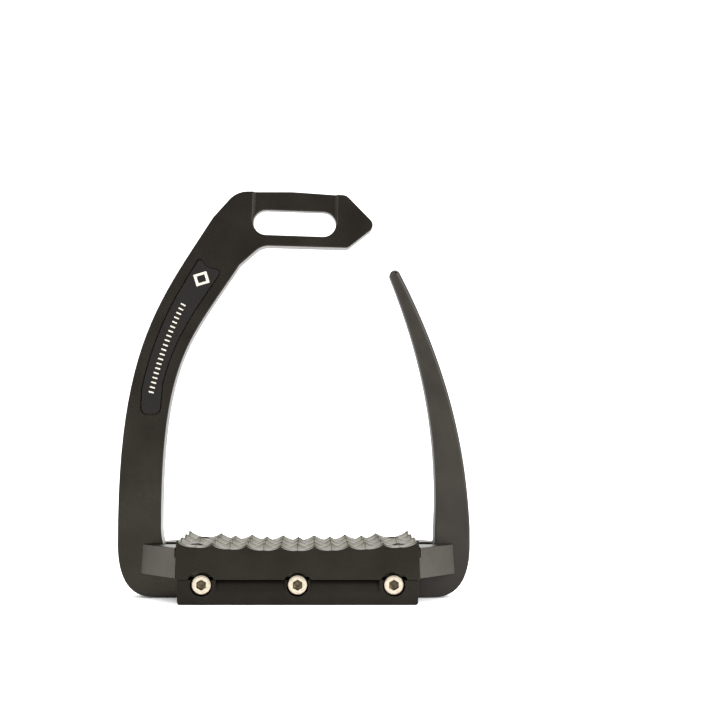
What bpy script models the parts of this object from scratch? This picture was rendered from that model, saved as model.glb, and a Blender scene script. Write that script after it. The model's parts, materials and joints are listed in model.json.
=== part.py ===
"""Safety stirrup iron: rigid frame with a leather eye, milled tread, and an outer branch that flexes outwards.

Metres, +Z up, +X towards the flexible branch, -Y is the front. The origin is the middle of the base.
"""

import math

import bmesh
import bpy
from mathutils import Matrix, Vector
from mathutils.geometry import interpolate_bezier

MM = 0.001

# Overall sizes
FOOT_ROOM = 120 * MM  # clear width between the two branches at the tread
HEIGHT = 178.6 * MM  # base to the top of the eye
FIT = 0.3 * MM  # gap between pieces that touch

# Branches, as seen from the front and from the side
RIGID_WIDTH = 19.1 * MM
FLEX_WIDTH = 15.5 * MM
FLEX_TIP_WIDTH = 4.8 * MM
BASE_THICKNESS = 9.6 * MM
TOP_THICKNESS = 6.4 * MM
CORNER_WIDTH = 15.3 * MM  # the rounded lower corners, across and up
CORNER_HEIGHT = 23.6 * MM
CORNER_FULLNESS = 0.65  # handle length of the corner curve: 0.55 is an ellipse, 1 is square
INNER_CORNER_WIDTH = 10 * MM
SPINE_TOP = 14 * MM
SPINE_BOTTOM = 0.4 * MM
SPINE_END = 22.5 * MM  # from the middle of the platform to the joint with the flexible branch's tongue

# Eye and leather slot
EYE_X = 0.3 * MM
EYE_TILT = math.radians(-2)
SLOT_WIDTH = 36.4 * MM
SLOT_HEIGHT = 11.2 * MM
SLOT_DROP = 14 * MM  # top of the eye to the middle of the slot
RECESS_DEPTH = 1.3 * MM
RECESS_STEP = 1.3 * MM

# Inlay plate on the front of the rigid branch
INLAY_MARGIN = 5.1 * MM
INLAY_THICKNESS = 1.1 * MM
INLAY_GROOVE = 0.5 * MM
INLAY_SUNK = 0.1 * MM

# Flexible branch: hinges that stand for its bending, and how the links meet
FLEX_FOOT = 31 * MM  # height of the lowest hinge
FLEX_BENDS = (0, 0.316, 0.668)  # the hinges, as shares of the way up from the lowest one to the tip
FLEX_DROP = 36.8 * MM  # top of the eye to the middle of the branch's rounded tip
FLEX_LEAN = 17.3 * MM  # how far the tip leans in past the branch's inner foot
FLEX_GAP = 0.4 * MM
FLEX_LIP = 0.6  # where a link's lips end below the hinge, as a share of the knuckle's radius

# Platform
BRANCH_CLEARANCE = 8.35 * MM  # tread end to branch
TREAD_HALF_DEPTH = 24 * MM
TREAD_LEAN = 0.8 * MM  # the skirts lean in by this much at their top
CHAMFER_WIDTH = 1.7 * MM
CHAMFER_BOTTOM = 22.9 * MM
CHAMFER_HEIGHT = 2.9 * MM
SKIRT_WALL = 3.2 * MM
TREAD_UNDERSIDE = 19.8 * MM
GRIP_STEP = 7.18 * MM  # half the spacing of the teeth along the tread
GROOVE_DEPTH = 3.07 * MM
DISH_RADIUS = 650 * MM  # the tread sags along its length
BAR_HEIGHT = 10.4 * MM
BAR_DEPTH = 11 * MM
BAR_INSET = 1 * MM  # the bars' faces lie back from the skirts
BAR_SHORT = 1.05 * MM  # each end of a bar stops short of the tread
BAR_ROUND = 1.3 * MM
BRIDGE_TOP = 23.6 * MM
BRIDGE_INSET = 4 * MM  # the bridges' ends lie back from the skirts
WING_SLANT = 0.8 * MM  # the facets' edges on the branches lean in by this much at the top
WING_REACH = 8.7 * MM  # how far the bridges overlap the branches

# Fasteners
SCREW_INSET = 11.15 * MM  # end of the tread to the outer cap screws
SCREW_Z = 8.2 * MM
SCREW_RADIUS = 2.5 * MM
HEAD_RADIUS = 4.25 * MM
HEAD_HEIGHT = 5 * MM
SCREW_STOP = 0.7 * MM  # end of the shank to the middle plane
SEAT_ROOM = 1.85 * MM  # round a head, in the skirt above it
SEAT_FIT = 0.45 * MM  # round a head, in the bar
SEAT_SUNK = 7.6 * MM  # from the skirt to the face that a head bears on
HEX_WIDTH = 4 * MM
BUSH_WALL = 1.2 * MM
BUSH_SUNK = 0.3 * MM  # the bushes' ends lie below the faces of the spine
GRIP_SCREW_RADIUS = 1.5 * MM
GRIP_HEAD_RADIUS = 3 * MM
GRIP_HEAD_SUNK = 2.2 * MM  # below the teeth's tips
GRIP_SCREW_LENGTH = 10 * MM
GRIP_HEX_WIDTH = 2 * MM

# Places that follow from the sizes
PLATFORM_X = (RIGID_WIDTH - FLEX_WIDTH) / 2
RIGID_INNER = PLATFORM_X - FOOT_ROOM / 2
RIGID_OUTER = RIGID_INNER - RIGID_WIDTH
FLEX_INNER = PLATFORM_X + FOOT_ROOM / 2
FLEX_OUTER = FLEX_INNER + FLEX_WIDTH
SPINE_END_X = PLATFORM_X + SPINE_END
HALF_TREAD = FOOT_ROOM / 2 - BRANCH_CLEARANCE
SCREW_XS = [PLATFORM_X + place * (HALF_TREAD - SCREW_INSET) for place in (-1, 0, 1)]
SLOT_LEFT = EYE_X - SLOT_WIDTH / 2
SLOT_RIGHT = EYE_X + SLOT_WIDTH / 2
SLOT_Z = HEIGHT - SLOT_DROP
FLEX_TOP = HEIGHT - FLEX_DROP
FLEX_HINGES = [FLEX_FOOT + share * (FLEX_TOP - FLEX_FOOT) for share in FLEX_BENDS]
PEAK_Z = CHAMFER_BOTTOM + CHAMFER_HEIGHT
BRIDGE_FRONT = TREAD_HALF_DEPTH - BRIDGE_INSET
BAR_FRONT = TREAD_HALF_DEPTH - BAR_INSET
BAR_BACK = BAR_FRONT - BAR_DEPTH
SEAT_DEPTH = TREAD_HALF_DEPTH - SEAT_SUNK
SEAT_RADIUS = HEAD_RADIUS + SEAT_ROOM
SCREW_LENGTH = SEAT_DEPTH + FIT - SCREW_STOP
BUSH_RADIUS = SCREW_RADIUS + FIT + BUSH_WALL
GRIP_HEAD_TOP = PEAK_Z - GRIP_HEAD_SUNK
GROOVE_SPACING = GRIP_STEP * math.sqrt(2)
GROOVE_RADIUS = ((GROOVE_SPACING / 2) ** 2 + GROOVE_DEPTH**2) / (2 * GROOVE_DEPTH)
TEETH_ALONG = int((HALF_TREAD - MM) / GRIP_STEP)
TEETH_ACROSS = int((TREAD_HALF_DEPTH - TREAD_LEAN) / GRIP_STEP)


# Helpers


def half_thickness(z):
    """Half of the branches' thickness, front to back, which thins evenly from the base to the eye."""
    return (BASE_THICKNESS + (TOP_THICKNESS - BASE_THICKNESS) * z / HEIGHT) / 2


def finish(name, colour, metallic, roughness):
    """A plain material; colour is sRGB hex."""
    material = bpy.data.materials.new(name)
    material.use_nodes = True
    shader = material.node_tree.nodes["Principled BSDF"]
    channels = [int(colour[i : i + 2], 16) / 255 for i in (0, 2, 4)]
    linear = [c / 12.92 if c <= 0.04045 else ((c + 0.055) / 1.055) ** 2.4 for c in channels]
    shader.inputs["Base Color"].default_value = (*linear, 1)
    shader.inputs["Metallic"].default_value = metallic
    shader.inputs["Roughness"].default_value = roughness
    return material


def bezier(start, out, back, end, steps=20):
    """Points of one cubic stretch, as (across, up) pairs."""
    knots = [Vector((*point, 0)) for point in (start, out, back, end)]
    return [(p.x, p.y) for p in interpolate_bezier(*knots, steps)]


def branch_edge(start, end, upright, back_x, back_z, steps=24):
    """A branch's edge: upright at its foot, then leaning over to its end. The handles are shares of the way."""
    run, rise = end[0] - start[0], end[1] - start[1]
    out = (start[0], start[1] + upright * rise)
    back = (end[0] - back_x * run, end[1] - back_z * rise)
    return bezier(start, out, back, end, steps)


def arc(centre, radius, start, end, steps=10):
    """Points of an arc between two angles in degrees."""
    angles = [math.radians(start + (end - start) * i / steps) for i in range(steps + 1)]
    return [(centre[0] + radius * math.cos(a), centre[1] + radius * math.sin(a)) for a in angles]


def rounded(corners, steps=7):
    """An outline through the given corners, each (across, up, radius); a radius of 0 keeps the point."""
    points = []
    for i, (x, z, radius) in enumerate(corners):
        here = Vector((x, z))
        if not radius:
            points.append((x, z))
            continue
        before = (Vector(corners[i - 1][:2]) - here).normalized()
        after = (Vector(corners[(i + 1) % len(corners)][:2]) - here).normalized()
        half = before.angle(after) / 2
        centre = here + (before + after).normalized() * radius / math.sin(half)
        first = here + before * radius / math.tan(half) - centre
        last = here + after * radius / math.tan(half) - centre
        turn = first.angle_signed(last)
        for step in range(steps + 1):
            spoke = Matrix.Rotation(-turn * step / steps, 2) @ first
            points.append(tuple(centre + spoke))
    return points


def kept(points):
    """The same points as corners without rounding."""
    return [(x, z, 0) for x, z in points]


def offset(points, distance):
    """The open line moved sideways, to the left of its direction when distance is positive."""
    moved = []
    for i, (x, z) in enumerate(points):
        (x0, z0), (x1, z1) = points[max(i - 1, 0)], points[min(i + 1, len(points) - 1)]
        along = Vector((x1 - x0, z1 - z0)).normalized()
        moved.append((x - along.y * distance, z + along.x * distance))
    return moved


def link_to(collection, name, mesh, material):
    piece = bpy.data.objects.new(name, mesh)
    collection.objects.link(piece)
    if material:
        mesh.materials.append(material)
    mesh.shade_smooth()
    mesh.set_sharp_from_angle(angle=math.radians(35))
    if collection == cutters:
        piece.hide_render = True
        piece.display_type = "WIRE"
    return piece


def extruded(name, outlines, place, material=None):
    """A solid of a flat outline (and the holes in it); place maps (across, up, side) to metres, side being -1 or 1."""
    curve = bpy.data.curves.new(name, "CURVE")
    curve.dimensions = "2D"
    curve.fill_mode = "BOTH"
    curve.extrude = 1
    for outline in outlines:
        spline = curve.splines.new("POLY")
        spline.points.add(len(outline) - 1)
        for point, (x, y) in zip(spline.points, outline):
            point.co = (x / MM, y / MM, 0, 1)
        spline.use_cyclic_u = True
    flat = bpy.data.objects.new(name + "_outline", curve)
    parts.objects.link(flat)
    bpy.context.view_layer.update()
    graph = bpy.context.evaluated_depsgraph_get()
    mesh = bpy.data.meshes.new_from_object(flat.evaluated_get(graph))
    mesh.name = name
    bpy.data.objects.remove(flat)
    bpy.data.curves.remove(curve)
    shape = bmesh.new()
    shape.from_mesh(mesh)
    bmesh.ops.remove_doubles(shape, verts=shape.verts, dist=0.001)
    for vertex in shape.verts:
        across, up, side = vertex.co
        vertex.co = place(across * MM, up * MM, 1 if side > 0 else -1)
    shape.to_mesh(mesh)
    shape.free()
    mesh.materials.clear()
    return link_to(parts if material else cutters, name, mesh, material)


def slab(name, outlines, front, back, material=None):
    """An outline in the front view, between two depths that are functions of the height."""
    return extruded(name, outlines, lambda x, z, side: (x, front(z) if side > 0 else back(z), z), material)


def rail(name, outlines, x0, x1, material=None):
    """An outline in the side view, drawn out along the tread."""
    return extruded(name, outlines, lambda y, z, side: (x1 if side > 0 else x0, y, z), material)


def box(name, low, high, material=None):
    """A block between two corners."""
    shape = bmesh.new()
    size = Vector(high) - Vector(low)
    middle = Matrix.Translation((Vector(high) + Vector(low)) / 2)
    bmesh.ops.create_cube(shape, size=1, matrix=middle @ Matrix.Diagonal((*size, 1)))
    mesh = bpy.data.meshes.new(name)
    shape.to_mesh(mesh)
    shape.free()
    return link_to(parts if material else cutters, name, mesh, material)


def turned(name, profile, steps, material=None):
    """A turned piece on its own Z axis: the profile is (radius, height) pairs, down its outer side."""
    mesh = bpy.data.meshes.new(name)
    closed = profile[0] == profile[-1]
    points = profile[:-1] if closed else profile
    edges = [(i, i + 1) for i in range(len(points) - 1)]
    if closed:
        edges.append((len(points) - 1, 0))
    mesh.from_pydata([(radius, 0, height) for radius, height in points], edges, [])
    piece = link_to(parts if material else cutters, name, mesh, material)
    screw = piece.modifiers.new("turn", "SCREW")
    screw.steps = screw.render_steps = steps
    screw.use_merge_vertices = True
    screw.merge_threshold = 0.01 * MM
    return piece


def combine(piece, other, operation="DIFFERENCE"):
    """Cuts the piece with another object, or joins it on."""
    modifier = piece.modifiers.new(other.name, "BOOLEAN")
    modifier.operation = operation
    modifier.object = other


def final_mesh(piece):
    """The piece's mesh with its modifiers applied."""
    bpy.context.view_layer.update()
    graph = bpy.context.evaluated_depsgraph_get()
    return bpy.data.meshes.new_from_object(piece.evaluated_get(graph))


def copy_of(piece, name, mesh, location=(0, 0, 0), rotation=(0, 0, 0), scale=(1, 1, 1)):
    """Another object on an already finished mesh."""
    twin = bpy.data.objects.new(name, mesh)
    parts.objects.link(twin)
    twin.location, twin.rotation_euler, twin.scale = location, rotation, scale
    return twin


def bore(name, radius, x, y0, y1, z, sides=24):
    """A drill along Y."""
    shape = bmesh.new()
    lie = Matrix.Translation((x, (y0 + y1) / 2, z)) @ Matrix.Rotation(math.pi / 2, 4, "X")
    bmesh.ops.create_cone(
        shape, cap_ends=True, segments=sides, radius1=radius, radius2=radius, depth=abs(y1 - y0), matrix=lie
    )
    mesh = bpy.data.meshes.new(name)
    shape.to_mesh(mesh)
    shape.free()
    return link_to(cutters, name, mesh, None)


def hex_drill(name, width, depth):
    """A hexagonal cutter for a socket, from just above z = 0 down to the depth."""
    shape = bmesh.new()
    radius = width / math.sqrt(3)
    above = MM
    middle = Matrix.Translation((0, 0, (above - depth) / 2))
    bmesh.ops.create_cone(
        shape, cap_ends=True, segments=6, radius1=radius, radius2=radius, depth=above + depth, matrix=middle
    )
    mesh = bpy.data.meshes.new(name)
    shape.to_mesh(mesh)
    shape.free()
    return link_to(cutters, name, mesh, None)


# Frame


def rigid_outer_edge():
    """The rigid branch's outer edge, from the lower corner up to the eye's shoulder."""
    shoulder = (SLOT_LEFT - 17.6 * MM, HEIGHT - 11.4 * MM)
    return branch_edge((RIGID_OUTER, CORNER_HEIGHT), shoulder, 0.6, 0.59, 0.266)


def rigid_inner_edge():
    """The rigid branch's inner edge, from the foot up to the underside of the eye."""
    foot = (RIGID_INNER, SPINE_TOP + 17 * MM)
    return branch_edge(foot, (SLOT_LEFT - 6 * MM, HEIGHT - 32.4 * MM), 0.642, 0.648, 0.293)


def corner(start, end, fullness):
    """A rounded corner that leaves start sideways along the base and arrives upright at end, or the reverse."""
    out = (start[0] + fullness * (end[0] - start[0]), start[1])
    back = (end[0], end[1] + fullness * (start[1] - end[1]))
    return bezier(start, out, back, end, 16)


def slot_outline():
    """The leather slot: straight walls and round ends, tilted with the eye."""
    reach = (SLOT_WIDTH - SLOT_HEIGHT) / 2
    ends = arc((reach, 0), SLOT_HEIGHT / 2, -90, 90, 12) + arc((-reach, 0), SLOT_HEIGHT / 2, 90, 270, 12)
    turn = Matrix.Rotation(EYE_TILT, 2)
    return [tuple(turn @ Vector(point) + Vector((EYE_X, SLOT_Z))) for point in ends]


def frame_outline():
    base_corner = corner((RIGID_OUTER + CORNER_WIDTH, SPINE_BOTTOM), (RIGID_OUTER, CORNER_HEIGHT), CORNER_FULLNESS)
    foot = rigid_inner_edge()[0]
    inner_corner = corner((foot[0] + INNER_CORNER_WIDTH, SPINE_TOP), foot, 0.55)
    eye = [  # round the eye, from the shoulder over the top and back under the slot, past each end of the slot
        (SLOT_LEFT, -7.3, 0, 11),
        (EYE_X, -1.0, 0, 60),
        (SLOT_RIGHT, 4.6, -1.7, 4),
        (SLOT_RIGHT, 17.8, -15.2, 3.2),
        (SLOT_RIGHT, 5.2, -25, 3),
        (SLOT_LEFT, 3.7, -23.9, 9),
    ]
    corners = [(SPINE_END_X, SPINE_BOTTOM, 0), *kept(base_corner), *kept(rigid_outer_edge()[1:])]
    corners += [(place + x * MM, HEIGHT + z * MM, radius * MM) for place, x, z, radius in eye]
    corners += [*kept(reversed(rigid_inner_edge())), *kept(list(reversed(inner_corner))[1:])]
    corners += [(SPINE_END_X, SPINE_TOP, 0)]
    return rounded(corners)


def inlay_outline(margin):
    """The inlay plate, held back from both edges of the rigid branch; a smaller margin gives its pocket."""
    grow = INLAY_MARGIN - margin
    top, bottom = HEIGHT - 28.6 * MM - grow, HEIGHT - 91.5 * MM
    left = [p for p in offset(rigid_outer_edge(), -margin) if bottom < p[1] < top + 2 * grow]
    right = [p for p in offset(rigid_inner_edge(), margin) if bottom + 3 * MM < p[1] < top - 7.2 * MM + 2 * grow]
    low_left, low_right = left[0], right[0]
    toe = bottom - 6.5 * MM - grow
    corners = [(low_left[0], low_left[1], 0), *kept(left[1:])]
    peak = (left[-1][0] + 2.2 * MM, left[-1][1] + 3.4 * MM + grow, 1.2 * MM)
    dip = (right[-1][0] - 5.2 * MM, right[-1][1] + 4.6 * MM + grow, 6 * MM)
    heel = (right[-1][0] + 1.6 * MM, right[-1][1] + 2.6 * MM + grow, 1.4 * MM)
    corners += [peak, dip, heel, *kept(reversed(right))]
    corners += [(low_right[0] - 1.2 * MM, toe, 3.2 * MM), (low_left[0] - 0.6 * MM, toe, 3.2 * MM)]
    return rounded(corners)


def make_frame():
    black = finish("anodised_black", "3C3932", 0.9, 0.42)
    frame = slab(
        "frame",
        [frame_outline(), slot_outline()],
        lambda z: -half_thickness(z),
        half_thickness,
        black,
    )
    # The strap bar over the slot is thinned front and back, with a sloping step at each end.
    reach = SLOT_WIDTH / 2 - RECESS_STEP / 2
    floor = half_thickness(SLOT_Z) - RECESS_DEPTH
    clear = BASE_THICKNESS
    slope = RECESS_STEP * (clear - floor) / RECESS_DEPTH
    for name, side in (("front_recess", -1), ("rear_recess", 1)):
        profile = [(-reach, floor), (reach, floor), (reach + slope, clear), (-reach - slope, clear)]
        tool = extruded(name, [profile], lambda x, y, up, side=side: (x, side * y, SLOT_DROP if up > 0 else 0))
        if side < 0:
            tool.data.flip_normals()
        tool.location = (EYE_X, 0, SLOT_Z)
        tool.rotation_euler = (0, -EYE_TILT, 0)
        combine(frame, tool)
    pocket = slab(
        "inlay_pocket",
        [inlay_outline(INLAY_MARGIN - INLAY_GROOVE)],
        lambda z: -BASE_THICKNESS,
        lambda z: INLAY_THICKNESS + INLAY_SUNK + FIT - half_thickness(z),
    )
    combine(frame, pocket)
    for number, x in enumerate(SCREW_XS[:2], 1):
        combine(frame, bore(f"bush_bore_{number}", BUSH_RADIUS + FIT, x, -BASE_THICKNESS, BASE_THICKNESS, SCREW_Z))


def make_inlay():
    slab(
        "branch_inlay",
        [inlay_outline(INLAY_MARGIN)],
        lambda z: INLAY_SUNK - half_thickness(z),
        lambda z: INLAY_SUNK + INLAY_THICKNESS - half_thickness(z),
        finish("inlay_black", "34302C", 0.0, 0.45),
    )


# Platform


def dish(x):
    """How far the tread's top rises away from its middle."""
    return (x - PLATFORM_X) ** 2 / (2 * DISH_RADIUS)


def groove(across):
    """Depth below the teeth's tips of one set of parallel round grooves; across is measured along the tread."""
    pitch = 2 * GRIP_STEP
    if abs(across) > (TEETH_ALONG + TEETH_ACROSS) * GRIP_STEP + MM / 100:
        return 0
    from_centre = (abs(across) % pitch - GRIP_STEP) / math.sqrt(2)
    return GROOVE_DEPTH - (GROOVE_RADIUS - math.sqrt(GROOVE_RADIUS**2 - from_centre**2))


def make_grip_cutter():
    """Everything above the diamond grip: two crossing sets of grooves at 45 degrees leave rows of teeth."""
    shape = bmesh.new()
    step = GRIP_STEP / 2
    columns, rows = 2 * TEETH_ALONG + 2, 2 * TEETH_ACROSS + 2
    bmesh.ops.create_grid(shape, x_segments=2 * columns, y_segments=2 * rows, size=1)
    for vertex in shape.verts:
        x, y = vertex.co.x * columns * step, vertex.co.y * rows * step
        depth = max(groove(x + y), groove(x - y))
        vertex.co = (PLATFORM_X + x, y, PEAK_Z + dish(PLATFORM_X + x) - depth)
    bmesh.ops.triangulate(shape, faces=shape.faces, quad_method="LONG_EDGE")
    lifted = bmesh.ops.extrude_face_region(shape, geom=shape.faces[:])
    for vertex in lifted["geom"]:
        if isinstance(vertex, bmesh.types.BMVert):
            vertex.co.z = PEAK_Z + 10 * MM
    bmesh.ops.recalc_face_normals(shape, faces=shape.faces)
    mesh = bpy.data.meshes.new("grip_cutter")
    shape.to_mesh(mesh)
    shape.free()
    return link_to(cutters, "grip_cutter", mesh, None)


def make_tread():
    top = CHAMFER_HEIGHT + 0.5 * MM
    skirt_top = TREAD_HALF_DEPTH - TREAD_LEAN
    half = [
        (TREAD_HALF_DEPTH - SKIRT_WALL, BAR_HEIGHT + FIT),
        (TREAD_HALF_DEPTH, BAR_HEIGHT + FIT),
        (skirt_top, CHAMFER_BOTTOM),
        (skirt_top - CHAMFER_WIDTH * top / CHAMFER_HEIGHT, CHAMFER_BOTTOM + top),
    ]
    inside = (skirt_top - SKIRT_WALL, TREAD_UNDERSIDE)
    section = [*half, *[(-y, z) for y, z in reversed(half)], (-inside[0], inside[1]), inside]
    tread = rail(
        "tread",
        [section],
        PLATFORM_X - HALF_TREAD,
        PLATFORM_X + HALF_TREAD,
        finish("tread_bare_aluminium", "969488", 1.0, 0.4),
    )
    shape = bmesh.new()
    shape.from_mesh(tread.data)
    for column in range(-TEETH_ALONG, TEETH_ALONG + 1):
        everything = shape.verts[:] + shape.edges[:] + shape.faces[:]
        place = (PLATFORM_X + column * GRIP_STEP, 0, 0)
        bmesh.ops.bisect_plane(shape, geom=everything, plane_co=place, plane_no=(1, 0, 0), dist=0.01 * MM)
    for vertex in shape.verts:
        if vertex.co.z > TREAD_UNDERSIDE + MM:
            vertex.co.z += dish(vertex.co.x)
    shape.to_mesh(tread.data)
    shape.free()
    combine(tread, make_grip_cutter())
    for number, x in enumerate(SCREW_XS, 1):
        through = TREAD_HALF_DEPTH + MM
        combine(tread, bore(f"head_notch_{number}", SEAT_RADIUS, x, -through, through, SCREW_Z))
    return tread


def make_bridge():
    """One of the two bridges: a wedge from the branches out to the tread, over a block that the screws pass."""
    inner = BASE_THICKNESS / 2 + FIT
    bottom = BAR_HEIGHT + FIT
    left, right = RIGID_INNER - WING_REACH, FLEX_INNER + WING_REACH
    reach = HALF_TREAD + 0.2 * MM
    plan = [(left, -inner), (PLATFORM_X - reach, -BRIDGE_FRONT), (PLATFORM_X + reach, -BRIDGE_FRONT), (right, -inner)]

    lean = WING_SLANT * (BRIDGE_FRONT - inner) / (PLATFORM_X - reach - left)

    def place(x, y, side):
        """The bottom as drawn; the top pulled in so that each facet stays flat."""
        if side < 0:
            return (x, y, bottom)
        if y < -inner - MM:
            return (x, y + lean, BRIDGE_TOP)
        return (x + math.copysign(WING_SLANT, PLATFORM_X - x), y, BRIDGE_TOP)

    bridge = extruded("front_bridge", [plan], place, finish("bridge_grey", "6E6B65", 0.9, 0.45))
    block_reach = HALF_TREAD - BAR_SHORT - 1.5 * MM
    block = box(
        "bridge_block",
        (PLATFORM_X - block_reach, FIT - BAR_BACK, MM),
        (PLATFORM_X + block_reach, -inner, bottom + MM),
    )
    combine(bridge, block, "UNION")
    pocket = box(
        "tread_pocket",
        (PLATFORM_X - HALF_TREAD - FIT, -2 * BRIDGE_FRONT, TREAD_UNDERSIDE - FIT),
        (PLATFORM_X + HALF_TREAD + FIT, 0, BRIDGE_TOP + MM),
    )
    combine(bridge, pocket)
    for number, x in enumerate(SCREW_XS, 1):
        combine(bridge, bore(f"bridge_bore_{number}", SCREW_RADIUS + FIT, x, -2 * BRIDGE_FRONT, 0, SCREW_Z))
        combine(bridge, bore(f"bridge_notch_{number}", SEAT_RADIUS, x, -2 * BRIDGE_FRONT, -SEAT_DEPTH, SCREW_Z))
    return bridge


def make_bar():
    """One of the two lower bars, scooped under the tread between the screw seats."""
    left, right = PLATFORM_X - HALF_TREAD + BAR_SHORT, PLATFORM_X + HALF_TREAD - BAR_SHORT
    outline = [(left, 0, BAR_ROUND), (right, 0, BAR_ROUND), (right, BAR_HEIGHT, 0), (left, BAR_HEIGHT, 0)]
    bar = slab(
        "front_bar",
        [rounded(outline)],
        lambda z: -BAR_FRONT,
        lambda z: -BAR_BACK,
        finish("bar_black", "302D28", 0.9, 0.45),
    )
    lip = -BAR_FRONT - MM
    scoop = [(lip, BAR_HEIGHT / 3), (lip + 4 * MM, BAR_HEIGHT + MM), (lip, BAR_HEIGHT + MM)]
    near, far = 5.1 * MM, SCREW_XS[2] - PLATFORM_X - SEAT_RADIUS - 0.1 * MM
    for name, side in (("left_scoop", -1), ("right_scoop", 1)):
        start, end = sorted((PLATFORM_X + side * near, PLATFORM_X + side * far))
        combine(bar, rail(name, [scoop], start, end))
    for number, x in enumerate(SCREW_XS, 1):
        combine(bar, bore(f"bar_bore_{number}", SCREW_RADIUS + FIT, x, -2 * BRIDGE_FRONT, 0, SCREW_Z))
        combine(bar, bore(f"bar_seat_{number}", HEAD_RADIUS + SEAT_FIT, x, -2 * BRIDGE_FRONT, -SEAT_DEPTH, SCREW_Z))
    return bar


# Fasteners


def grip_screw_profile(grow):
    """Countersunk screw, its head's top at z = 0; grow widens it into its hole."""
    slope = GRIP_HEAD_RADIUS - GRIP_SCREW_RADIUS
    rim = 0.3 * MM
    return [
        (0, grow and GRIP_SCREW_LENGTH),
        (GRIP_HEAD_RADIUS + grow, grow and GRIP_SCREW_LENGTH),
        (GRIP_HEAD_RADIUS + grow, -rim),
        (GRIP_SCREW_RADIUS + grow, -rim - slope),
        (GRIP_SCREW_RADIUS + grow, -GRIP_SCREW_LENGTH - grow),
        (0, -GRIP_SCREW_LENGTH - grow),
    ]


def grip_screw_places():
    """The second tooth in from each corner of the tread."""
    along, across = (TEETH_ALONG - 1) * GRIP_STEP, (TEETH_ACROSS - 1) * GRIP_STEP
    return [(PLATFORM_X + i * along, j * across) for j in (-1, 1) for i in (-1, 1)]


def make_grip_screws(tread, front_bridge):
    steel = finish("blackened_steel", "26231F", 1.0, 0.4)
    pattern = turned("grip_screw_pattern", grip_screw_profile(0), 16, steel)
    combine(pattern, hex_drill("grip_hex", GRIP_HEX_WIDTH, 1.2 * MM))
    mesh = final_mesh(pattern)
    bpy.data.objects.remove(pattern)
    for number, (x, y) in enumerate(grip_screw_places(), 1):
        place = (x, y, GRIP_HEAD_TOP)
        copy_of(None, f"grip_screw_{number}", mesh, place)
        hole = turned(f"grip_screw_hole_{number}", grip_screw_profile(FIT), 16)
        hole.location = place
        combine(tread, hole)
        if y < 0:
            combine(front_bridge, hole)


def make_cap_screws():
    steel = finish("stainless_steel", "EBE1D2", 1.0, 0.3)
    edge = 0.5 * MM
    profile = [
        (0, 0),
        (HEAD_RADIUS - edge, 0),
        (HEAD_RADIUS, -edge),
        (HEAD_RADIUS, -HEAD_HEIGHT),
        (SCREW_RADIUS, -HEAD_HEIGHT),
        (SCREW_RADIUS, -HEAD_HEIGHT - SCREW_LENGTH + edge),
        (SCREW_RADIUS - edge, -HEAD_HEIGHT - SCREW_LENGTH),
        (0, -HEAD_HEIGHT - SCREW_LENGTH),
    ]
    pattern = turned("cap_screw_pattern", profile, 24, steel)
    combine(pattern, hex_drill("cap_hex", HEX_WIDTH, 2.5 * MM))
    mesh = final_mesh(pattern)
    bpy.data.objects.remove(pattern)
    face = SEAT_DEPTH + FIT + HEAD_HEIGHT
    for number, x in enumerate(SCREW_XS, 1):
        copy_of(None, f"cap_screw_front_{number}", mesh, (x, -face, SCREW_Z), (math.pi / 2, 0, 0))
        copy_of(None, f"cap_screw_rear_{number}", mesh, (x, face, SCREW_Z), (-math.pi / 2, 0, 0))


def make_bushes():
    steel = finish("bush_steel", "B4AFA6", 1.0, 0.35)
    inner = SCREW_RADIUS + FIT
    half = BASE_THICKNESS / 2 - BUSH_SUNK
    profile = [(inner, half), (BUSH_RADIUS, half), (BUSH_RADIUS, -half), (inner, -half), (inner, half)]
    pattern = turned("bush_pattern", profile, 24, steel)
    mesh = final_mesh(pattern)
    bpy.data.objects.remove(pattern)
    for number, x in enumerate(SCREW_XS, 1):
        copy_of(None, f"thread_bush_{number}", mesh, (x, 0, SCREW_Z), (math.pi / 2, 0, 0))


# Flexible branch


def flex_centreline():
    """From the first hinge up to the middle of the rounded tip."""
    start = ((FLEX_INNER + FLEX_OUTER) / 2, FLEX_FOOT)
    end = (FLEX_INNER - FLEX_LEAN, FLEX_TOP)
    return [Vector(point) for point in branch_edge(start, end, 0.311, 0.757, 0.376, 120)]


def flex_half_width(z):
    """Half of the branch's width, which narrows evenly from the first hinge to the tip."""
    share = (z - FLEX_FOOT) / (FLEX_TOP - FLEX_FOOT)
    return (FLEX_WIDTH + (FLEX_TIP_WIDTH - FLEX_WIDTH) * share) / 2


def along(line, low, high):
    """The line's points between two heights, both ends included, about every fifth one, with their directions."""
    picked = []
    for i in range(len(line) - 1):
        step = line[i + 1] - line[i]
        for height in (low, high):
            if line[i].y <= height < line[i + 1].y:
                picked.append((line[i] + step * (height - line[i].y) / step.y, step.normalized()))
        if i % 5 == 2 and low + MM < line[i].y < high - MM:
            picked.append((line[i], step.normalized()))
    return sorted(picked, key=lambda entry: entry[0].y)


def hinge_at(line, height):
    """The hinge's centre, the branch's direction there and the knuckle's radius."""
    centre, direction = along(line, height, height + 10 * MM)[0]
    return centre, direction, flex_half_width(height)


def cup(hinge):
    """The hollow end below a hinge: right lip, concave arc round the knuckle, left lip."""
    centre, direction, radius = hinge
    hollow = radius + FLEX_GAP
    lean = math.degrees(math.atan2(direction.y, direction.x))
    spread = math.degrees(math.acos(FLEX_LIP * radius / hollow))
    return arc(centre, hollow, lean + 180 + spread, lean + 180 - spread, 20)


def knuckle(hinge):
    """The round end on a hinge, from its left side under to its right."""
    centre, direction, radius = hinge
    lean = math.degrees(math.atan2(direction.y, direction.x))
    return arc(centre, radius, lean + 90, lean + 270, 20)


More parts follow.
